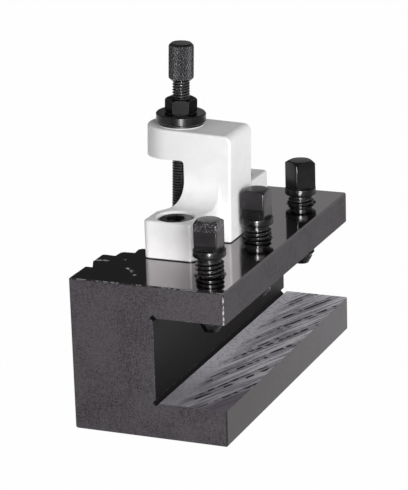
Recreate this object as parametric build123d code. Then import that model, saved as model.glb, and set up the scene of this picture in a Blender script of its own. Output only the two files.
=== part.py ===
from build123d import *
from math import radians, sqrt, tan
import os

# Quick-change holder for square-shank turning tools, in millimetres.
# Frame: +Z up, Y along the tool slot, +X towards the slot's open side,
# origin at the centre of the block's underside.

# ---- block -----------------------------------------------------------------
block_length = 100.0
block_width = 45.5
block_height = 44.0
slot_depth = 20.8
slot_floor_z = 10.4
slot_height = 24.5
corner_relief = 1.0          # reach of the square relief in each inner corner of the slot
edge_break = 0.4             # chamfer on the block's outer edges

# ---- serrated seat in the back, for the tool post --------------------------
post_axis_x = -42.75         # axis of the tool post, behind the block
post_divisions = 40          # positions in a full turn
tooth_tip_radius = 35.2
tooth_root_radius = 37.4
groove_pairs = 6             # V grooves on each side of the middle tooth
claw_notch_start = 33.9      # Y of the post claw's notch, from the middle
claw_notch_end = 39.7
claw_notch_depth = 2.5

# ---- clamp screws, M8 with a collar and a square head ----------------------
clamp_screw_x = 13.2
clamp_screw_pitch = 36.0
clamp_lift = {"front": 5.3, "middle": 3.9, "rear": 2.7}     # collar above the block
clamp_turn = {"front": 2.0, "middle": 0.0, "rear": 52.0}    # turn of each square head
clamp_thread_radius = 4.0
clamp_neck_radius = 3.2
clamp_neck_height = 1.2
clamp_shank_length = 21.4
clamp_point_radius = 3.2
clamp_point_length = 2.7
clamp_point_taper = 2.0      # height of the cone at the end of the point
clamp_tip_radius = 2.1
collar_radius = 4.6
collar_height = 2.3
square_across_flats = 6.7
square_height = 8.1
square_turned_radius = 4.6   # the square's corners are turned to this radius
square_top_radius = 3.15
square_bevel_angle = 30.0
clamp_hole_countersink = 0.5

# ---- cast bracket ----------------------------------------------------------
foot_left_x = -10.0
foot_right_x = 5.2
foot_front_y = -28.0
foot_rear_y = 30.5
foot_top_z = 55.0
foot_corner_radius = 1.8
column_right_x = 8.25            # at the block; the face leans out to column_top_x
column_top_x = 8.95
column_half_width = 8.3
column_top_radius = 2.2
arm_end_x = -19.05
arm_underside_z = 67.1
arm_top_z = 75.0                 # above the column; the arm's top rises to its free end
arm_rise_angle = 2.2
post_clearance_radius = 38.2     # the bracket is cut back round the tool post's axis
throat_fillet = 1.0
flare_radius = 6.5
casting_edge_radius = 0.7
boss_radius = 6.5
boss_height = 0.8
bracket_hole_x = -2.45
bracket_hole_y = 22.0

# ---- bracket screws, M6 socket head ----------------------------------------
cap_head_radius = 4.9
cap_head_height = 6.0
cap_head_bevel = 0.4
cap_socket_across_flats = 5.0
cap_socket_depth = 3.0
cap_shank_radius = 3.0
cap_shank_length = 12.0
counterbore_radius = 5.1
counterbore_depth = 6.5
counterbore_chamfer = 0.5
cap_hole_spare_depth = 1.0       # drilled deeper than the screw reaches

# ---- height screw, washer and lock nut, M5 ---------------------------------
# They stand square to the arm's top; heights are measured from it along the screw.
height_screw_x = -9.4            # where the screw passes through the arm's top
height_screw_radius = 2.5
height_screw_bevel = 0.6
height_screw_reach = 27.7        # the screw's end, below the arm's top
knurled_head_radius = 3.65
knurled_head_bottom = 12.8
knurled_head_top = 23.6
knurled_head_bevel = 0.8
washer_radius = 7.15
washer_thickness = 2.7
washer_bevel = 0.35
nut_across_flats = 8.0
nut_height = 4.0
nut_bevel = 0.4
nut_turn = 21.0

# ---- fits ------------------------------------------------------------------
running_clearance = 0.06         # radial, between each screw and its hole
cut_past = 1.0                   # how far a cutting solid runs past the face it opens

slot_wall_x = block_width / 2 - slot_depth
slot_roof_z = slot_floor_z + slot_height
cap_seat_z = foot_top_z - counterbore_depth
nut_bottom = boss_height + washer_thickness


def arm_top_at(x):
    return arm_top_z + (column_top_x - x) * tan(radians(arm_rise_angle))


# the screw's axis at the arm's top, leaning with it
screw_frame = Pos(height_screw_x, 0, arm_top_at(height_screw_x)) * Rot(0, arm_rise_angle, 0)


def hexagon(across_flats):
    return RegularPolygon(across_flats / sqrt(3), 6)


def upright_prism(face, x, y, bottom, height, turn=0):
    """Extrude a face drawn on the XY plane upward from a given height."""
    return Pos(x, y, bottom) * Rot(0, 0, turn) * extrude(face, height)


def upright_cylinder(x, y, bottom, top, radius):
    return upright_prism(Circle(radius), x, y, bottom, top - bottom)


def turned(*points):
    """Solid of revolution about the Z axis from its half section, given as (radius, z) points."""
    with BuildPart() as lathe_work:
        with BuildSketch(Plane.XZ):
            with BuildLine():
                Polyline(*points, close=True)
            make_face()
        revolve(axis=Axis.Z)
    return lathe_work.part


def bevelled_rod(radius, bottom, top, bevel):
    return turned((0, bottom), (radius - bevel, bottom), (radius, bottom + bevel),
                  (radius, top - bevel), (radius - bevel, top), (0, top))


def drilled_hole(x, y, bottom, top, radius, mouth_bevel):
    """Hole open at the top, with a countersunk mouth."""
    cone = Pos(x, y, top - mouth_bevel / 2) * Cone(radius, radius + mouth_bevel, mouth_bevel)
    return upright_cylinder(x, y, bottom, top + cut_past, radius) + cone


# ---- block -----------------------------------------------------------------
def slotted_blank():
    """Rectangular bar with the tool slot, a relief in each inner corner and broken edges."""
    blank = Pos(0, 0, block_height / 2) * Box(block_width, block_length, block_height)
    blank = chamfer(blank.edges(), edge_break)
    slot_run = block_length + 2 * cut_past
    slot = Pos(slot_wall_x + slot_depth, 0, slot_floor_z + slot_height / 2) * Box(
        2 * slot_depth, slot_run, slot_height)
    relief_side = corner_relief * sqrt(2)
    for z in (slot_floor_z, slot_roof_z):
        slot += Pos(slot_wall_x, 0, z) * Rot(0, 45, 0) * Box(relief_side, slot_run, relief_side)
    return blank - slot


def tooth_space(angle):
    """One 90 degree V groove, its point on the root circle, cut the full height."""
    run = tooth_root_radius - tooth_tip_radius + cut_past
    mouth_x = tooth_root_radius - run
    wedge = make_face(Polyline((tooth_root_radius, 0), (mouth_x, run), (mouth_x, -run), close=True))
    return upright_prism(wedge, post_axis_x, 0, -cut_past, block_height + 2 * cut_past, angle)


def claw_notch(side):
    """Saw-tooth notch for a claw of the tool post: sloping inside, steep outside."""
    back_x = -block_width / 2
    start = side * claw_notch_start
    end = side * claw_notch_end
    outline = make_face(Polyline((back_x - cut_past, start), (back_x, start),
                                 (back_x + claw_notch_depth, end), (back_x - cut_past, end), close=True))
    return upright_prism(outline, 0, 0, -cut_past, block_height + 2 * cut_past)


def post_seat():
    """Concave seat for the tool post: a cylinder with equally spaced tooth spaces."""
    seat = upright_cylinder(post_axis_x, 0, -cut_past, block_height + cut_past, tooth_tip_radius)
    step = 360 / post_divisions
    for index in range(groove_pairs):
        for side in (-1, 1):
            seat += tooth_space(side * (index + 0.5) * step)
    return seat


def tool_block():
    block = slotted_blank() - post_seat()
    cap_hole_bottom = cap_seat_z - cap_shank_length - cap_hole_spare_depth
    for side in (-1, 1):
        block -= claw_notch(side)
        block -= upright_cylinder(bracket_hole_x, side * bracket_hole_y, cap_hole_bottom,
                                  block_height + cut_past, cap_shank_radius + running_clearance)
    for index in (-1, 0, 1):
        block -= drilled_hole(clamp_screw_x, index * clamp_screw_pitch, slot_roof_z - cut_past,
                              block_height, clamp_thread_radius + running_clearance,
                              clamp_hole_countersink)
    return block


# ---- clamp screws ----------------------------------------------------------
def square_head():
    """Square with turned corners and a bevelled top, standing on the XY plane."""
    bevel_drop = (square_turned_radius - square_top_radius) * tan(radians(square_bevel_angle))
    envelope = turned((0, 0), (square_turned_radius, 0), (square_turned_radius, square_height - bevel_drop),
                      (square_top_radius, square_height), (0, square_height))
    return extrude(Rectangle(square_across_flats, square_across_flats), square_height) & envelope


def clamp_shank():
    """Neck, thread at its major diameter and a tapered point, hanging from the XY plane."""
    point_top = clamp_point_length - clamp_shank_length
    thread_end = point_top + clamp_thread_radius - clamp_point_radius
    return turned((0, 0), (clamp_neck_radius, 0), (clamp_neck_radius, -clamp_neck_height),
                  (clamp_thread_radius, -clamp_neck_height), (clamp_thread_radius, thread_end),
                  (clamp_point_radius, point_top),
                  (clamp_point_radius, clamp_point_taper - clamp_shank_length),
                  (clamp_tip_radius, -clamp_shank_length), (0, -clamp_shank_length))


def clamp_screw(place, y):
    """Square-head screw with a turned collar, at the height and turn it was left in."""
    head = Pos(0, 0, collar_height) * Rot(0, 0, clamp_turn[place]) * square_head()
    screw = upright_cylinder(0, 0, 0, collar_height, collar_radius) + head + clamp_shank()
    return Pos(clamp_screw_x, y, block_height + clamp_lift[place]) * screw


# ---- bracket ---------------------------------------------------------------
def arm_and_column():
    """Overhanging arm and its column as one block, before the throat is cut."""
    side_view = make_face(Polyline((column_right_x, block_height), (column_top_x, arm_top_z),
                                   (2 * arm_end_x, arm_top_at(2 * arm_end_x)), (2 * arm_end_x, block_height),
                                   close=True))
    body = extrude(Plane.XZ * side_view, column_half_width, both=True)
    shoulder = body.edges().filter_by(Axis.Y).sort_by(lambda edge: edge.center().X + edge.center().Z)[-1]
    body = fillet(shoulder, column_top_radius)
    body &= rounded_arm_plan()
    above_block = [edge for edge in body.edges() if edge.center().Z > block_height + 1]
    side_edges = [edge for edge in above_block if abs(edge.center().Y) > column_half_width - 0.01]
    arm_rim = [edge for edge in above_block if edge.center().X < arm_end_x + column_half_width - 1]
    return fillet(side_edges + arm_rim, casting_edge_radius)


def rounded_arm_plan():
    """Tall prism, square to the arm's top, with the round outline of the arm's end."""
    end_centre = arm_end_x + column_half_width - height_screw_x
    straight = column_half_width + block_width
    plan = Pos(end_centre + straight / 2, 0) * Rectangle(straight, 2 * column_half_width)
    plan += Pos(end_centre, 0) * Circle(column_half_width)
    return screw_frame * upright_prism(plan, 0, 0, -block_height, 1.5 * block_height)


def throat():
    """Space round the tool post, under the arm, with a fillet where arm and column meet."""
    height = arm_underside_z - block_height + cut_past
    drum = Cylinder(post_clearance_radius, height)
    drum = fillet(drum.edges().sort_by(Axis.Z)[-1], throat_fillet)
    return Pos(post_axis_x, 0, arm_underside_z - height / 2) * drum


def foot_flare(side):
    """Concave flare that runs from the foot's top up the column's face."""
    face = column_half_width
    toe = face + flare_radius
    top = foot_top_z + flare_radius
    sunk_face = face - cut_past
    sunk_z = foot_top_z - cut_past
    with BuildSketch(Plane.YZ) as section:
        with BuildLine():
            Polyline((face, top), (sunk_face, top), (sunk_face, sunk_z), (toe, sunk_z), (toe, foot_top_z))
            RadiusArc((toe, foot_top_z), (face, top), flare_radius)
        make_face()
    flare = Pos(foot_left_x, 0, 0) * extrude(section.sketch, foot_right_x - foot_left_x)
    return flare if side > 0 else mirror(flare, Plane.XZ)


def foot_bar():
    """Bar under the column with rounded ends, bolted down at both of them."""
    width = foot_right_x - foot_left_x
    length = foot_rear_y - foot_front_y
    plan = RectangleRounded(width, length, foot_corner_radius)
    bar = upright_prism(plan, foot_left_x + width / 2, foot_front_y + length / 2,
                        block_height, foot_top_z - block_height)
    return fillet(bar.faces().sort_by(Axis.Z)[-1].edges(), casting_edge_radius)


def counterbored_hole(y):
    """Through hole with a counterbore that sinks the cap screw's head."""
    shank_hole = upright_cylinder(bracket_hole_x, y, block_height - cut_past, foot_top_z,
                                  cap_shank_radius + running_clearance)
    return shank_hole + drilled_hole(bracket_hole_x, y, cap_seat_z, foot_top_z,
                                     counterbore_radius, counterbore_chamfer)


def height_bracket():
    bracket = arm_and_column() + foot_bar() + foot_flare(-1) + foot_flare(1) - throat()
    bracket += screw_frame * upright_cylinder(0, 0, -cut_past, boss_height, boss_radius)
    arm_thickness = arm_top_at(height_screw_x) - arm_underside_z
    bracket -= screw_frame * screw_hole(-arm_thickness, arm_thickness + boss_height)
    for side in (-1, 1):
        bracket -= counterbored_hole(side * bracket_hole_y)
    return bracket


def bracket_screw(y):
    """Socket-head cap screw seated on the counterbore's floor."""
    socket = upright_prism(hexagon(cap_socket_across_flats), 0, 0,
                           cap_head_height - cap_socket_depth, cap_socket_depth + cut_past)
    head = turned((0, 0), (cap_head_radius, 0), (cap_head_radius, cap_head_height - cap_head_bevel),
                  (cap_head_radius - cap_head_bevel, cap_head_height), (0, cap_head_height)) - socket
    shank = upright_cylinder(0, 0, -cap_shank_length, 0, cap_shank_radius)
    return Pos(bracket_hole_x, y, cap_seat_z) * (head + shank)


# ---- height screw and its lock ---------------------------------------------
def height_screw():
    """Thumb screw: a long stud below a round head."""
    stud = bevelled_rod(height_screw_radius, -height_screw_reach, knurled_head_bottom + cut_past,
                        height_screw_bevel)
    head = bevelled_rod(knurled_head_radius, knurled_head_bottom, knurled_head_top,
                        knurled_head_bevel)
    return screw_frame * (stud + head)


def screw_hole(bottom, height):
    """Hole for the height screw through a piece of the given place and height along it."""
    return upright_cylinder(0, 0, bottom - cut_past, bottom + height + cut_past,
                            height_screw_radius + running_clearance)


def nut_washer():
    disc = bevelled_rod(washer_radius, boss_height, nut_bottom, washer_bevel)
    return screw_frame * (disc - screw_hole(boss_height, washer_thickness))


def lock_nut():
    """Hexagon nut with its corners bevelled on both faces by a turned envelope."""
    top = nut_bottom + nut_height
    envelope = bevelled_rod(nut_across_flats / sqrt(3), nut_bottom, top, nut_bevel)
    nut = upright_prism(hexagon(nut_across_flats), 0, 0, nut_bottom, nut_height, nut_turn) & envelope
    return screw_frame * (nut - screw_hole(nut_bottom, nut_height))


pieces = {
    "tool_block": tool_block(),
    "height_bracket": height_bracket(),
    "bracket_screw_front": bracket_screw(-bracket_hole_y),
    "bracket_screw_rear": bracket_screw(bracket_hole_y),
    "height_screw": height_screw(),
    "nut_washer": nut_washer(),
    "lock_nut": lock_nut(),
    "clamp_screw_front": clamp_screw("front", -clamp_screw_pitch),
    "clamp_screw_middle": clamp_screw("middle", 0),
    "clamp_screw_rear": clamp_screw("rear", clamp_screw_pitch),
}

os.makedirs("parts", exist_ok=True)
for name, piece in pieces.items():
    export_step(piece, f"parts/{name}.step")
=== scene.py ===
import bpy
from math import atan2, cos, pi, radians, sin, tan
from mathutils import Matrix, Vector


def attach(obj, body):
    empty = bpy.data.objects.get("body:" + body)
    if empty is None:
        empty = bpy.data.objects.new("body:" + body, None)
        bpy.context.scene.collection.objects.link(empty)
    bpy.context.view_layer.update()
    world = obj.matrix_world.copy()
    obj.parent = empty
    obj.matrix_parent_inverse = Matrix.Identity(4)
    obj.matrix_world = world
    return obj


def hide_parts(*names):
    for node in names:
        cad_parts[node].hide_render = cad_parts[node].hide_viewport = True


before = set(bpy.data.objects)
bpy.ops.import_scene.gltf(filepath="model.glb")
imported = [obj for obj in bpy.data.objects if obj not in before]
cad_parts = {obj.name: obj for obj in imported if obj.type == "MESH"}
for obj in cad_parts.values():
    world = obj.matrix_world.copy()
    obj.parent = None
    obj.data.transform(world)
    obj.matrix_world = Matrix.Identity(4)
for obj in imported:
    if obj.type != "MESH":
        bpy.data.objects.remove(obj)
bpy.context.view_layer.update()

# Looks of the quick-change turning tool holder. Lengths are in metres and are
# written as millimetres times mm. +Z is up, Y runs along the tool slot and +X
# points to the slot's open side.
mm = 0.001

# ---- block -----------------------------------------------------------------
block_half_length = 50 * mm
block_half_width = 22.75 * mm
block_top_z = 44 * mm
slot_floor_z = 10.4 * mm
slot_roof_z = 34.9 * mm
slot_wall_x = 1.95 * mm
corner_relief = 1.2 * mm         # painted shade: the slot's dark corners reach a little past its walls

# ---- wear and painted highlights at the block's front end ------------------
bright_rim_width = 0.3 * mm
bright_corner_width = 0.4 * mm
scuff_centre = (-18, -48)        # in millimetres, as each arc's radius is; its two angles are degrees
scuff_arcs = ((12.7, 36, 56), (12.9, 20, 27), (17.4, 77, 82), (15, 91, 109))

# ---- cutter's marks on the slot's floor ------------------------------------
cutter_slant = radians(-21)
mark_lane_pitch = 1.7 * mm
mark_row_pitch = 17.5 * mm
mark_row_slope = 2.6
mark_cell = (2.1 * mm, 3.2 * mm, 5 * mm)
streak_cell = (0.9 * mm, 24 * mm, 5 * mm)

# ---- clamp screws, M8 ------------------------------------------------------
clamp_screw_x = 13.2 * mm
clamp_screw_pitch = 36 * mm
clamp_lift = {"front": 5.3 * mm, "middle": 3.9 * mm, "rear": 2.7 * mm}
clamp_turn = {"front": 2, "middle": 0, "rear": 52}
clamp_crest_radius = 4.0 * mm
clamp_root_radius = 3.3 * mm
clamp_thread_pitch = 1.25 * mm
clamp_neck_radius = 3.2 * mm
clamp_neck_height = 1.2 * mm
clamp_neck_taper = 0.6 * mm
clamp_shank_length = 21.4 * mm
clamp_point_radius = 3.2 * mm
clamp_point_length = 2.7 * mm
clamp_point_taper = 2.0 * mm
clamp_tip_radius = 2.1 * mm
collar_radius = 4.6 * mm
collar_height = 2.3 * mm
collar_bevel = 0.3 * mm
square_across_flats = 6.7 * mm
square_height = 8.1 * mm
square_turned_radius = 4.6 * mm
square_top_radius = 3.15 * mm
square_bevel_drop = 0.837 * mm
sheen_heads_to_y = 20 * mm       # painted sheen: the front and middle heads are paler
sheen_heads_from_z = 53 * mm
curled_head_to_y = -20 * mm      # only the front head's top has bright curls
curled_head_from_z = 57 * mm

# ---- height screw, M5 ------------------------------------------------------
# heights along the screw, from where it passes through the arm's top
height_screw_x = -9.4 * mm
height_screw_z = 75.705 * mm
height_screw_lean = radians(2.2)
height_crest_radius = 2.5 * mm
height_root_radius = 2.03 * mm
height_thread_pitch = 0.8 * mm
stud_bottom = -27.7 * mm
height_screw_bevel = 0.6 * mm
knurled_head_bottom = 12.8 * mm
knurled_head_top = 23.6 * mm
knurled_head_radius = 3.65 * mm
knurled_head_bevel = 0.8 * mm
knurl_valley_radius = 3.37 * mm
knurl_turned_off = 0.03 * mm
knurl_columns = 52
knurl_rows = 17

# ---- threads and joins -----------------------------------------------------
ridge_root_share = 0.97          # ridge's width at the root and at the crest, of the pitch
ridge_crest_share = 0.16
ridge_sunk_share = 0.12          # of the ridge's height, so that it bites into its core
thread_steps = 40                # flats in one turn
overlap = 0.2 * mm               # how far pieces that become one reach into each other
merge_distance = 0.002 * mm

# ---- casting ---------------------------------------------------------------
arm_from_z = 60 * mm             # painted shade: the arm is a little darker towards its free end
arm_full_z = 66 * mm
contact_shadow_from_height = 0.2 * mm      # painted contact shadow: a dark line where the casting meets the block
contact_shadow_to_height = 0.42 * mm

# ---- studio ----------------------------------------------------------------
floor_size = 4
floor_glow_share = 0.985
card_glow = 0.04
world_strength = 0.2
world_in_reflections = 0.38
white = (1, 1, 1, 1)

# ---- camera ----------------------------------------------------------------
camera_turn = radians(22.83)
camera_rise = radians(17.5)
camera_roll = radians(-1.76)
camera_place = (0.24252, -0.58427, 0.23982)
focal_length = 169.24            # in millimetres, on a sensor 36 mm wide


# ---- modelling helpers -----------------------------------------------------
def take(piece):
    """Selects only this piece and makes it active."""
    bpy.ops.object.select_all(action="DESELECT")
    piece.select_set(True)
    bpy.context.view_layer.objects.active = piece


def placed(piece):
    """Puts the piece's place, turn and scale into its mesh."""
    take(piece)
    bpy.ops.object.transform_apply(location=True, rotation=True, scale=True)
    return piece


def added(name):
    """Names the primitive just added and puts its place into its mesh."""
    piece = bpy.context.object
    piece.name = name
    return placed(piece)


def turned(name, sections, sides=96):
    """Round piece about the Z axis: a filled circle extruded upward through (radius, z) sections."""
    radius, z = sections[0]
    bpy.ops.object.select_all(action="DESELECT")
    bpy.ops.mesh.primitive_circle_add(vertices=sides, radius=radius, fill_type="NGON",
                                      location=(0, 0, z))
    piece = added(name)
    bpy.ops.object.mode_set(mode="EDIT")
    bpy.ops.mesh.select_all(action="SELECT")
    for next_radius, next_z in sections[1:]:
        bpy.ops.mesh.extrude_region_move(TRANSFORM_OT_translate={"value": (0, 0, next_z - z)})
        share = next_radius / radius
        bpy.ops.transform.resize(value=(share, share, 1), center_override=(0, 0, next_z))
        radius, z = next_radius, next_z
    return outward(piece)


def outward(piece):
    """Closes edit mode with every face turned outward."""
    bpy.ops.mesh.select_mode(type="VERT")
    bpy.ops.mesh.select_all(action="SELECT")
    bpy.ops.mesh.normals_make_consistent(inside=False)
    bpy.ops.object.mode_set(mode="OBJECT")
    return piece


def apply_modifier(piece, kind, **settings):
    take(piece)
    modifier = piece.modifiers.new(kind.lower(), kind)
    for key, value in settings.items():
        setattr(modifier, key, value)
    bpy.ops.object.modifier_apply(modifier=modifier.name)


def combine(piece, tool, operation):
    """Boolean of a piece with a tool, which is used up."""
    apply_modifier(piece, "BOOLEAN", operation=operation, solver="MANIFOLD", object=tool)
    bpy.data.objects.remove(tool)
    return piece


def united(*pieces):
    """One closed mesh of pieces that overlap, in triangles, cleared of the booleans' slivers."""
    whole = pieces[0]
    for piece in pieces[1:]:
        combine(whole, piece, "UNION")
    take(whole)
    bpy.ops.object.mode_set(mode="EDIT")
    bpy.ops.mesh.select_mode(type="VERT")
    bpy.ops.mesh.select_all(action="SELECT")
    bpy.ops.mesh.remove_doubles(threshold=merge_distance)
    bpy.ops.mesh.quads_convert_to_tris(quad_method="BEAUTY", ngon_method="BEAUTY")
    bpy.ops.mesh.dissolve_degenerate(threshold=merge_distance)
    bpy.ops.object.mode_set(mode="OBJECT")
    whole.data.materials.clear()
    return whole


def selected_where(piece, kind, test):
    """Leaves the piece in edit mode with only those corners or edges selected that pass the test."""
    take(piece)
    bpy.ops.object.mode_set(mode="EDIT")
    bpy.ops.mesh.select_mode(type=kind)
    bpy.ops.mesh.select_all(action="DESELECT")
    bpy.ops.object.mode_set(mode="OBJECT")
    corners = piece.data.vertices
    if kind == "VERT":
        for corner in corners:
            corner.select = test(corner.co)
    else:
        for edge in piece.data.edges:
            first, last = edge.vertices
            edge.select = test((corners[first].co + corners[last].co) / 2)
    bpy.ops.object.mode_set(mode="EDIT")


def thread_ridge(name, crest, root, pitch, bottom, top):
    """Helical ridge about the Z axis, sunk a little into its core, with both ends closed."""
    sunk_root = root - ridge_sunk_share * (crest - root)
    middle = (crest + sunk_root) / 2
    bpy.ops.object.select_all(action="DESELECT")
    bpy.ops.mesh.primitive_plane_add(size=1, rotation=(pi / 2, 0, 0), location=(middle, 0, bottom))
    bpy.context.object.scale = (crest - sunk_root, ridge_root_share * pitch, 1)
    ridge = added(name)
    selected_where(ridge, "EDGE", lambda place: place.x > (middle + crest) / 2)
    bpy.ops.transform.resize(value=(1, 1, ridge_crest_share / ridge_root_share),
                             center_override=(crest, 0, bottom))
    bpy.ops.mesh.select_all(action="SELECT")
    bpy.ops.mesh.delete(type="ONLY_FACE")
    bpy.ops.object.mode_set(mode="OBJECT")
    apply_modifier(ridge, "SCREW", axis="Z", angle=2 * pi, screw_offset=pitch,
                   iterations=round((top - bottom) / pitch), use_merge_vertices=False,
                   steps=thread_steps, render_steps=thread_steps)
    take(ridge)
    bpy.ops.object.mode_set(mode="EDIT")
    bpy.ops.mesh.select_mode(type="EDGE")
    bpy.ops.mesh.select_all(action="DESELECT")
    bpy.ops.mesh.select_non_manifold(extend=False)
    bpy.ops.mesh.edge_face_add()
    return outward(ridge)


def threaded(core, envelope, crest, root, pitch, bottom, top):
    """Core with a thread between two heights, turned down to the envelope at its ends."""
    combine(core, thread_ridge("thread_ridge", crest, root, pitch, bottom, top), "UNION")
    return combine(core, envelope, "INTERSECT")


def softened(piece, width, angle=radians(28)):
    apply_modifier(piece, "BEVEL", width=width, segments=2, limit_method="ANGLE", angle_limit=angle,
                   use_clamp_overlap=True)
    return piece


def smoothed(piece, angle):
    take(piece)
    bpy.ops.object.shade_smooth_by_angle(angle=angle)
    return piece


# ---- clamp screws ----------------------------------------------------------
def clamp_shank():
    """Neck, thread and tapered point on the Z axis, with the collar's underside at zero."""
    end = -clamp_shank_length
    point_top = end + clamp_point_length
    thread_end = point_top + clamp_crest_radius - clamp_point_radius
    thread_start = -clamp_neck_height
    core = turned("clamp_shank", [
        (clamp_tip_radius, end), (clamp_point_radius, end + clamp_point_taper),
        (clamp_point_radius, point_top), (clamp_root_radius, point_top + 0.1 * mm),
        (clamp_root_radius, thread_start), (clamp_neck_radius, thread_start),
        (clamp_neck_radius, overlap)])
    loose_point = clamp_point_radius + 0.1 * mm
    loose_neck = clamp_neck_radius + 0.1 * mm
    envelope = turned("clamp_thread_envelope", [
        (loose_point, end - 1 * mm), (loose_point, point_top), (clamp_crest_radius, thread_end),
        (clamp_crest_radius, thread_start - clamp_neck_taper), (loose_neck, thread_start),
        (loose_neck, 1 * mm)])
    return threaded(core, envelope, clamp_crest_radius, clamp_root_radius, clamp_thread_pitch,
                    point_top - clamp_thread_pitch / 2, thread_start + clamp_thread_pitch / 2)


def square_head():
    """Square with turned corners and a bevelled top, standing on the collar."""
    bottom = collar_height - overlap
    top = collar_height + square_height
    bpy.ops.object.select_all(action="DESELECT")
    bpy.ops.mesh.primitive_cube_add(size=1, location=(0, 0, (bottom + top) / 2))
    bpy.context.object.scale = (square_across_flats, square_across_flats, top - bottom)
    head = added("square_head")
    envelope = turned("square_envelope", [
        (square_turned_radius, bottom - 1 * mm), (square_turned_radius, top - square_bevel_drop),
        (square_top_radius, top), (square_top_radius - 0.01 * mm, top + 1 * mm)])
    combine(head, envelope, "INTERSECT")
    return softened(head, 0.16 * mm, angle=radians(18))


def collar():
    inner = collar_radius - collar_bevel
    ring = turned("collar", [(inner, 0), (collar_radius, collar_bevel),
                             (collar_radius, collar_height - collar_bevel), (inner, collar_height)])
    return softened(ring, 0.1 * mm)


def clamp_screws():
    """One screw modelled on the Z axis, then copied to its three places and turns."""
    model = smoothed(united(square_head(), collar(), clamp_shank()), radians(34))
    for index, place in enumerate(("front", "middle", "rear")):
        screw = model.copy()
        screw.data = model.data.copy()
        screw.name = "clamp_screw_with_thread_" + place
        bpy.context.scene.collection.objects.link(screw)
        y = (index - 1) * clamp_screw_pitch
        screw.location = (clamp_screw_x, y, block_top_z + clamp_lift[place])
        screw.rotation_euler.z = radians(clamp_turn[place])
        placed(screw)
        screw.data.materials.append(finishes["clamp_screw"])
        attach(screw, "clamp_" + place)
        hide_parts("clamp_screw_" + place)
    bpy.data.objects.remove(model)


# ---- height screw ----------------------------------------------------------
def knurled_head():
    """Diamond knurl: alternate points of a fine grid are pressed in, and the ends turned to a bevel."""
    height = knurled_head_top - knurled_head_bottom
    row = height / knurl_rows
    sections = [(knurled_head_radius, knurled_head_bottom + i * row) for i in range(knurl_rows + 1)]
    head = turned("knurled_head", sections, sides=knurl_columns)

    def pressed(place):
        column = round(atan2(place.y, place.x) / (2 * pi / knurl_columns))
        level = round((place.z - knurled_head_bottom) / row)
        return (column + level) % 2 == 1

    selected_where(head, "VERT", pressed)
    share = knurl_valley_radius / knurled_head_radius
    bpy.ops.transform.resize(value=(share, share, 1), center_override=(0, 0, 0))
    bpy.ops.mesh.select_mode(type="FACE")
    bpy.ops.mesh.select_all(action="SELECT")
    bpy.ops.mesh.quads_convert_to_tris(quad_method="SHORTEST_DIAGONAL", ngon_method="BEAUTY")
    outward(head)
    radius = knurled_head_radius - knurl_turned_off
    end_radius = radius - knurled_head_bevel
    envelope = turned("knurl_envelope", [
        (end_radius, knurled_head_bottom), (radius, knurled_head_bottom + knurled_head_bevel),
        (radius, knurled_head_top - knurled_head_bevel), (end_radius, knurled_head_top)])
    return combine(head, envelope, "INTERSECT")


def stud():
    """Long threaded shank below the knurled head, with a plain neck under the head."""
    bottom, top = stud_bottom, knurled_head_bottom + 0.5 * mm
    crest, root, bevel = height_crest_radius, height_root_radius, height_screw_bevel
    loose_root = root + 0.05 * mm
    core = turned("stud", [(root - 0.1 * mm, bottom), (root, bottom + 0.1 * mm), (root, top)])
    envelope = turned("stud_envelope", [
        (crest - bevel, bottom), (crest, bottom + bevel), (crest, top - 1.2 * mm),
        (loose_root, top - 0.8 * mm), (loose_root, top + 1 * mm)])
    return threaded(core, envelope, crest, root, height_thread_pitch,
                    bottom - height_thread_pitch / 2, top - height_thread_pitch / 2)


def height_screw():
    screw = smoothed(united(stud(), knurled_head()), radians(25))
    screw.name = "height_screw_knurled"
    screw.location = (height_screw_x, 0, height_screw_z)
    screw.rotation_euler.y = height_screw_lean
    placed(screw)
    screw.data.materials.append(finishes["height_screw"])
    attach(screw, "height_adjuster")
    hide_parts("height_screw")


# ---- materials -------------------------------------------------------------
def linear(red, green, blue):
    """Shader colour of a display colour given as 0 to 255."""
    def channel(value):
        share = value / 255
        return share / 12.92 if share <= 0.04045 else ((share + 0.055) / 1.055) ** 2.4
    return (channel(red), channel(green), channel(blue), 1)


class Value:
    """A node's output that takes part in arithmetic: each operator adds a Math node."""

    def __init__(self, finish, socket):
        self.finish, self.socket = finish, socket

    def math(self, operation, *operands):
        return self.finish.node("ShaderNodeMath", {"operation": operation}, dict(enumerate(operands)))

    def __add__(self, other):
        return self.math("ADD", self, other)

    def __radd__(self, other):
        return self.math("ADD", other, self)

    def __sub__(self, other):
        return self.math("SUBTRACT", self, other)

    def __rsub__(self, other):
        return self.math("SUBTRACT", other, self)

    def __mul__(self, other):
        return self.math("MULTIPLY", self, other)

    def __rmul__(self, other):
        return self.math("MULTIPLY", other, self)

    def __truediv__(self, other):
        return self.math("DIVIDE", self, other)

    def __rtruediv__(self, other):
        return self.math("DIVIDE", other, self)

    def __pow__(self, other):
        return self.math("POWER", self, other)

    def __neg__(self):
        return self.math("MULTIPLY", self, -1)

    def __abs__(self):
        return self.math("ABSOLUTE", self)

    def __gt__(self, other):
        return self.math("GREATER_THAN", self, other)

    def __lt__(self, other):
        return self.math("LESS_THAN", self, other)

    def fraction(self):
        return self.math("FRACT", self)

    def rise(self, low, high):
        """0 below low and 1 above high, with a soft step between them."""
        return self.finish.node("ShaderNodeMapRange", {"interpolation_type": "SMOOTHSTEP"},
                                {"Value": self, "From Min": low, "From Max": high})


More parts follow.
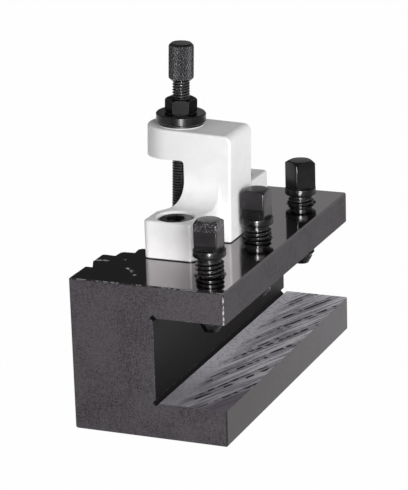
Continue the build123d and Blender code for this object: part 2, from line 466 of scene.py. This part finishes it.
class Finish:
    """The nodes of a new material, or of the world."""

    def __init__(self, owner):
        owner.use_nodes = True
        self.owner, self.tree = owner, owner.node_tree
        self.tree.nodes.clear()

    def node(self, kind, settings=None, inputs=None, output=0):
        """Adds a node: first its settings, then the values or links of its sockets."""
        node = self.tree.nodes.new(kind)
        for key, value in (settings or {}).items():
            setattr(node, key, value)
        for key, value in (inputs or {}).items():
            if isinstance(value, Value):
                self.tree.links.new(value.socket, node.inputs[key])
            else:
                node.inputs[key].default_value = value
        return Value(self, node.outputs[output]) if node.outputs else None

    def place(self):
        return self.node("ShaderNodeTexCoord", output="Object")

    def parts(self, vector):
        """The three numbers of a vector."""
        split = self.node("ShaderNodeSeparateXYZ", inputs={0: vector})
        return [Value(self, split.socket.node.outputs[i]) for i in range(3)]

    def drawn_out(self, vector, cell, turn=0):
        """Coordinates in which a pattern's cell has this width, length and depth, turned about Z."""
        return self.node("ShaderNodeMapping", {"vector_type": "TEXTURE"},
                         {"Vector": vector, "Rotation": (0, 0, turn), "Scale": cell})

    def noise(self, vector, scale, detail=3, roughness=0.55):
        return self.node("ShaderNodeTexNoise", None,
                         {"Vector": vector, "Scale": scale, "Detail": detail, "Roughness": roughness})

    def colour_mix(self, first, second, share):
        return self.node("ShaderNodeMix", {"data_type": "RGBA"}, {0: share, 6: first, 7: second}, output=2)

    def worn_edges(self, radius, low=0.02, high=0.25):
        """1 where the surface turns within the radius, 0 on flat ground."""
        rounded = self.node("ShaderNodeBevel", {"samples": 6}, {"Radius": radius})
        true_normal = self.node("ShaderNodeNewGeometry", output="Normal")
        same = self.node("ShaderNodeVectorMath", {"operation": "DOT_PRODUCT"},
                         {0: rounded, 1: true_normal}, output="Value")
        return (1 - same).rise(low, high)

    def scuff(self, x, y, place, radius, first, last):
        """Curved rub mark: part of a circle about the scuffs' centre, between two angles in degrees."""
        right, back = x - scuff_centre[0] * mm, y - scuff_centre[1] * mm
        reach = (right * right + back * back) ** 0.5
        angle = back.math("ARCTAN2", back, right)
        ring = 1 - abs(reach - radius * mm).rise(0.25 * mm, 0.7 * mm)
        within = (angle > radians(first)) * (angle < radians(last))
        return ring * within * self.noise(place, 700, 2).rise(0.4, 0.55)

    def bump(self, height, distance, strength):
        return self.node("ShaderNodeBump", None,
                         {"Height": height, "Distance": distance, "Strength": strength})

    def finished(self, surface, end="ShaderNodeOutputMaterial"):
        """Ends the nodes with this surface and gives back the material or world."""
        self.node(end, inputs={"Surface": surface})
        return self.owner

    def surface(self, **inputs):
        """Ends the material with a Principled shader; names are its sockets with _ for a space."""
        sockets = {key.replace("_", " "): value for key, value in inputs.items()}
        return self.finished(self.node("ShaderNodeBsdfPrincipled", None, sockets))


def new_finish(name):
    return Finish(bpy.data.materials.new(name))


def block_finish():
    """Ground steel, blackened: polished top, mottled sides, slot walls and roof darkened with painted
    shade, a bare milled floor, and painted highlights broken up like wear on the front end's edges.
    """
    f = new_finish("blackened_ground_steel")
    place = f.place()
    x, y, z = f.parts(place)
    nx, ny, nz = f.parts(f.node("ShaderNodeTexCoord", output="Normal"))
    faces_up = nz > 0.7
    faces_open_side = nx > 0.7
    top = faces_up * (z > block_top_z - 1 * mm)
    slot_floor = faces_up * (z < slot_floor_z + 1 * mm) * (x > slot_wall_x)
    slot_height = (z > slot_floor_z - corner_relief) * (z < slot_roof_z + corner_relief)
    wall_or_roof = ((nx > 0.5) * (x < slot_wall_x + 1 * mm) + (nz < -0.5)).rise(0, 0.5)
    # painted shade in the slot: its inner wall and roof, reaching a little past their corners
    slot_shade = slot_height * (x > slot_wall_x - corner_relief) * wall_or_roof
    lower_side = faces_open_side * (z < slot_floor_z + 0.5 * mm) * (x > slot_wall_x)
    upper_side = faces_open_side * (z > slot_roof_z)

    fine = f.noise(place, 2300, 2, 0.6)
    mottle = f.noise(place, 800)
    patches = f.noise(place, 95, 2)
    grain = f.noise(f.drawn_out(place, (0.4 * mm, 0.4 * mm, 3 * mm)), 1, 2)
    shade = 0.5 + (fine - 0.5) * 3.6 + (mottle - 0.5) * 1.4 + (grain - 0.5) * 0.8 + (patches - 0.5) * 0.6
    dark_side = f.colour_mix(linear(34, 29, 33), linear(50, 46, 51), patches.rise(0.4, 0.6))
    side_colour = f.colour_mix(dark_side, linear(78, 73, 78), shade)
    side_colour = f.colour_mix(side_colour, linear(30, 26, 29), upper_side * 0.35)
    paler_to_the_rear = shade * 0.5 + y / (2 * block_half_length)
    smooth_side = f.colour_mix(linear(68, 63, 65), linear(97, 95, 98), paler_to_the_rear)
    top_colour = f.colour_mix(linear(130, 125, 127), linear(144, 139, 141), patches)
    # painted shade: near-black colour for the slot's wall and roof, darker than the black oxide outside
    slot_shade_colour = f.colour_mix(linear(3, 1, 2), linear(18, 14, 15), shade * 0.6)

    colour = f.colour_mix(side_colour, smooth_side, lower_side)
    colour = f.colour_mix(colour, top_colour, top)
    colour = f.colour_mix(colour, slot_shade_colour, slot_shade)
    colour = f.colour_mix(colour, milled_floor(f, place, x, y), slot_floor)
    bevelled = (abs(nx) < 0.9) * (abs(ny) < 0.9) * (abs(nz) < 0.9)
    broken_end = bevelled * (abs(y) > block_half_length - 0.5 * mm)
    colour = f.colour_mix(colour, linear(30, 27, 29), broken_end * 0.8)

    rub = f.noise(place, 900)
    front_end = y < bright_rim_width - block_half_length
    # painted highlight along the end face's top edge, broken up like wear
    worn_rim_highlight = front_end * (z > block_top_z - bright_rim_width) * rub.rise(0.4, 0.56) * 0.45
    # painted highlight on the near vertical chamfer of the front end, broken up like wear
    corner = (x > block_half_width - bright_corner_width) * (z > slot_roof_z + 0.1 * mm)
    corner = front_end * corner * rub.rise(0.36, 0.6) * 0.7
    edges = f.worn_edges(0.55 * mm, low=0.01, high=0.12) * rub.rise(0.5, 0.62) * 0.25
    scuffs = sum(f.scuff(x, y, place, *arc) for arc in scuff_arcs) * top * 0.8
    # rubbed edges and scuffs are wear; the rim and corner marks are painted highlights
    wear_and_highlights = (edges + worn_rim_highlight + corner + scuffs).rise(0, 1)
    colour = f.colour_mix(colour, linear(216, 214, 216), wear_and_highlights)
    rough = 0.5 - 0.42 * top - 0.12 * lower_side + (mottle - 0.5) * 0.14 * (1 - top)
    metal = top * (1 - wear_and_highlights)
    relief = f.bump(fine + 0.5 * grain * (1 - top), 0.012 * mm, 0.4 - 0.34 * top)
    return f.surface(Base_Color=colour, Roughness=rough, Metallic=metal, IOR=1.25, Normal=relief)


def milled_floor(f, place, x, y):
    """Bare milled ground, mottled at the wall; outside it, dark cutter's dashes in slanting rows."""
    open_side = (x + 0.02 * y).rise(6 * mm, 10 * mm)
    far_share = (y / block_half_length).rise(-1.0, -0.1)
    plain_corner = ((x - 18 * mm) - (y + 42 * mm) * 0.45).rise(-1.5 * mm, 1.5 * mm) * (y < -24 * mm)
    speckle = f.noise(place, 1500, 2, 0.6)
    wander = f.noise(place, 60, 1)
    row = (y - (x - 8 * mm) * mark_row_slope) / mark_row_pitch + 0.28 + (wander - 0.5) * 0.5
    in_row = 1 - abs(row.fraction() - 0.5).rise(0.1, 0.3)
    lane = x * cos(cutter_slant) + y * sin(cutter_slant) + (wander - 0.5) * 2 * mm
    groove = 1 - abs((lane / mark_lane_pitch).fraction() - 0.5).rise(0.2, 0.36)
    step = f.noise(f.drawn_out(place, mark_cell, cutter_slant), 1, 0)
    streak = f.noise(f.drawn_out(place, streak_cell, cutter_slant), 1, 1)

    paler = far_share * 0.75 + 0.25 * (1 - open_side)
    ground = f.colour_mix(linear(132, 126, 137), linear(250, 247, 255), paler)
    ground = f.colour_mix(ground, linear(126, 120, 131), (0.5 - speckle).rise(-0.03, 0.16) * 0.5)
    ground = f.colour_mix(ground, linear(112, 106, 117), (0.5 - streak).rise(0, 0.1) * open_side * 0.5)
    bright_streak = streak.rise(0.5, 0.6) * open_side * (0.35 + 0.5 * far_share)
    ground = f.colour_mix(ground, linear(255, 252, 255), bright_streak)
    ground = f.colour_mix(ground, linear(104, 98, 108), plain_corner * 0.85)
    ground = f.colour_mix(ground, linear(136, 130, 141), in_row * open_side * 0.45)
    dark = groove * step.rise(0.44, 0.52) * (0.06 + 0.94 * in_row) * open_side * (1 - plain_corner)
    return f.colour_mix(ground, linear(26, 21, 29), dark)


def casting_finish():
    """White enamelled casting, slightly uneven, with a painted contact shadow where it meets the block,
    painted shade towards the arm's free end, and dark under the washer.
    """
    f = new_finish("white_enamelled_casting")
    place = f.place()
    x, y, z = f.parts(place)
    broad = f.noise(place, 110)
    fine = f.noise(place, 900)
    colour = f.colour_mix(linear(242, 242, 242), linear(250, 250, 250), broad.rise(0.35, 0.65))
    # painted shade towards the arm's free end
    arm_end_shade = (-x).rise(-4 * mm, 12 * mm) * z.rise(arm_from_z, arm_full_z)
    colour = f.colour_mix(colour, linear(234, 234, 234), arm_end_shade)
    # painted contact shadow where the casting meets the block
    contact_shadow = 1 - z.rise(block_top_z + contact_shadow_from_height, block_top_z + contact_shadow_to_height)
    over_arm = z - height_screw_z + (x - height_screw_x) * tan(height_screw_lean)
    under_washer = over_arm.rise(0.1 * mm, 0.25 * mm)
    # painted contact shadow at the block, and the boss under the washer darkened
    colour = f.colour_mix(colour, linear(30, 30, 32), (contact_shadow + under_washer).rise(0, 1))
    relief = f.bump(fine * 0.4 + broad, 0.05 * mm, 0.3)
    rough = 0.42 + (fine - 0.5) * 0.2
    return f.surface(Base_Color=colour, Roughness=rough, IOR=1.25, Normal=relief)


def bright_black_finish(name, low, high, roughness, edge_radius, edge_wear_and_glint_share=0.6, gloss=1.3,
                        head_sheen_and_curls=False):
    """Black-oxide steel, glossy, with edges rubbed lighter and, where the edge share is large, painted
    glints; optionally a painted sheen on the front and middle heads and bright curls on the front head's
    top.
    """
    f = new_finish(name)
    place = f.place()
    cloud = f.noise(place, 300)
    fine = f.noise(place, 2600, 2)
    colour = f.colour_mix(low, high, cloud.rise(0.35, 0.7))
    if head_sheen_and_curls:
        x, y, z = f.parts(place)
        # painted sheen on the front and middle clamp heads
        painted_head_sheen = (y < sheen_heads_to_y) * (z > sheen_heads_from_z) * (0.4 + 0.6 * cloud)
        colour = f.colour_mix(colour, linear(46, 42, 46), painted_head_sheen)
        curls = 1 - abs(f.noise(place, 900, 2) - 0.5).rise(0.01, 0.035)
        curls = curls * (y < curled_head_to_y) * (z > curled_head_from_z) * 0.8
        colour = f.colour_mix(colour, linear(120, 117, 120), curls)
    edges = f.worn_edges(edge_radius)
    # lighter edges: rubbed wear, and painted glints where the edge share is large
    colour = f.colour_mix(colour, linear(150, 148, 152), edges * fine.rise(0.35, 0.6) * edge_wear_and_glint_share)
    rough = roughness + (cloud - 0.5) * 0.12
    relief = f.bump(fine, 0.008 * mm, 0.3)
    return f.surface(Base_Color=colour, Roughness=rough, Metallic=0.0, IOR=gloss, Normal=relief)


finishes = {
    "block": block_finish(),
    "casting": casting_finish(),
    # the clamp screws get a painted sheen on their front and middle heads
    "clamp_screw": bright_black_finish("glossy_black_screw_steel", linear(5, 4, 5), linear(16, 15, 16),
                                       0.24, 0.25 * mm, head_sheen_and_curls=True),
    "cap_screw": bright_black_finish("dark_cap_screw_steel", linear(16, 15, 16), linear(36, 34, 36),
                                     0.26, 0.2 * mm),
    # edge share 1.6 whitens the knurl's and thread's ridges: wear and painted glints
    "height_screw": bright_black_finish("knurled_black_steel", linear(10, 9, 10), linear(26, 25, 26),
                                        0.24, 0.2 * mm, edge_wear_and_glint_share=1.6),
    "washer": bright_black_finish("washer_steel", linear(10, 9, 10), linear(26, 25, 26),
                                  0.24, 0.3 * mm),
    "nut": bright_black_finish("nut_steel", linear(5, 4, 5), linear(14, 13, 14),
                               0.35, 0.25 * mm, gloss=1.08),
}

for node_name, finish in (("tool_block", "block"), ("height_bracket", "casting"),
                          ("bracket_screw_front", "cap_screw"), ("bracket_screw_rear", "cap_screw"),
                          ("nut_washer", "washer"), ("lock_nut", "nut")):
    for material_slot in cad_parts[node_name].material_slots:
        material_slot.material = finishes[finish]

clamp_screws()
height_screw()


# ---- studio ----------------------------------------------------------------
def seen_only(f, *rays):
    """1 for these kinds of ray, 0 for the light that falls on the object."""
    found = [f.node("ShaderNodeLightPath", output=ray) for ray in rays]
    return sum(found[1:], found[0]).rise(0, 1)


def sheet(name, size, place=(0, 0, 0), turn=(0, 0, 0)):
    bpy.ops.object.select_all(action="DESELECT")
    bpy.ops.mesh.primitive_plane_add(size=size, location=place, rotation=turn)
    plane = bpy.context.object
    plane.name = name
    return plane


def pale_floor():
    """Wide pale floor that shows as white, yet keeps a soft shadow."""
    floor = sheet("floor", floor_size)
    f = new_finish("pale_floor")
    paper = f.node("ShaderNodeBsdfDiffuse", None, {"Color": linear(236, 236, 236)})
    glow = f.node("ShaderNodeEmission", None, {"Color": white, "Strength": 1.0})
    share = seen_only(f, "Is Camera Ray", "Is Glossy Ray", "Is Transmission Ray") * floor_glow_share
    mixed = f.node("ShaderNodeMixShader", None, {0: share, 1: paper, 2: glow})
    floor.data.materials.append(f.finished(mixed))


def dark_card(name, size, place, turn=(0, 0, 0)):
    """Card that only reflections show."""
    card = sheet(name, size, place, turn)
    f = new_finish(name)
    clear = f.node("ShaderNodeBsdfTransparent")
    dark = f.node("ShaderNodeEmission", None, {"Color": white, "Strength": card_glow})
    share = seen_only(f, "Is Glossy Ray")
    mixed = f.node("ShaderNodeMixShader", None, {0: share, 1: clear, 2: dark})
    card.data.materials.append(f.finished(mixed))


def studio_air():
    """White surroundings, brighter in reflections than in the light on the object."""
    f = Finish(bpy.data.worlds.new("studio_air"))
    ray = f.node("ShaderNodeLightPath", output="Is Glossy Ray")
    strength = f.node("ShaderNodeMapRange", None,
                      {"Value": ray, "To Min": world_strength, "To Max": world_in_reflections})
    background = f.node("ShaderNodeBackground", None, {"Color": white, "Strength": strength})
    bpy.context.scene.world = f.finished(background, "ShaderNodeOutputWorld")


def soft_lamp(name, place, size, power, target=(0, 0, 0.04)):
    lamp = bpy.data.lights.new(name, "AREA")
    lamp.shape = "RECTANGLE"
    lamp.size, lamp.size_y = size
    lamp.energy = power
    carrier = bpy.data.objects.new(name, lamp)
    bpy.context.scene.collection.objects.link(carrier)
    carrier.location = place
    carrier.rotation_euler = (Vector(target) - Vector(place)).to_track_quat("-Z", "Y").to_euler()
    return carrier


def studio():
    pale_floor()
    dark_card("rear_card", 0.6, (-0.52, 0.5, 0.3), (radians(90), 0, 0))
    dark_card("front_card", 0.8, (0.24, -0.62, 0.001))
    studio_air()
    soft_lamp("main_lamp", place=(1.17, -1.03, 0.45), size=(1.1, 0.9), power=22.5)
    soft_lamp("left_lamp", place=(-0.85, -1.3, 0.45), size=(0.7, 0.9), power=4)
    streak_lamp = soft_lamp("streak_lamp", place=(0.118, -0.302, 0.09), size=(0.024, 0.17), power=6,
                            target=(0.002, 0, 0.06))
    streak_lamp.visible_diffuse = False
    streak_lamp.visible_camera = False


def camera():
    """Long lens, a little above the block and to the right of its end."""
    level = cos(camera_rise)
    back = Vector((sin(camera_turn) * level, -cos(camera_turn) * level, sin(camera_rise)))
    right = Vector((cos(camera_turn), sin(camera_turn), 0))
    up = back.cross(right)
    rolled_right = right * cos(camera_roll) + up * sin(camera_roll)
    rolled_up = up * cos(camera_roll) - right * sin(camera_roll)
    lens = bpy.data.cameras.new("camera")
    lens.sensor_width = 36
    lens.lens = focal_length
    lens.clip_start, lens.clip_end = 0.01, 20
    view = bpy.data.objects.new("camera", lens)
    bpy.context.scene.collection.objects.link(view)
    axes = Matrix((rolled_right, rolled_up, back)).transposed().to_4x4()
    view.matrix_world = Matrix.Translation(camera_place) @ axes
    bpy.context.scene.camera = view


studio()
camera()
bpy.context.scene.view_settings.view_transform = "Standard"
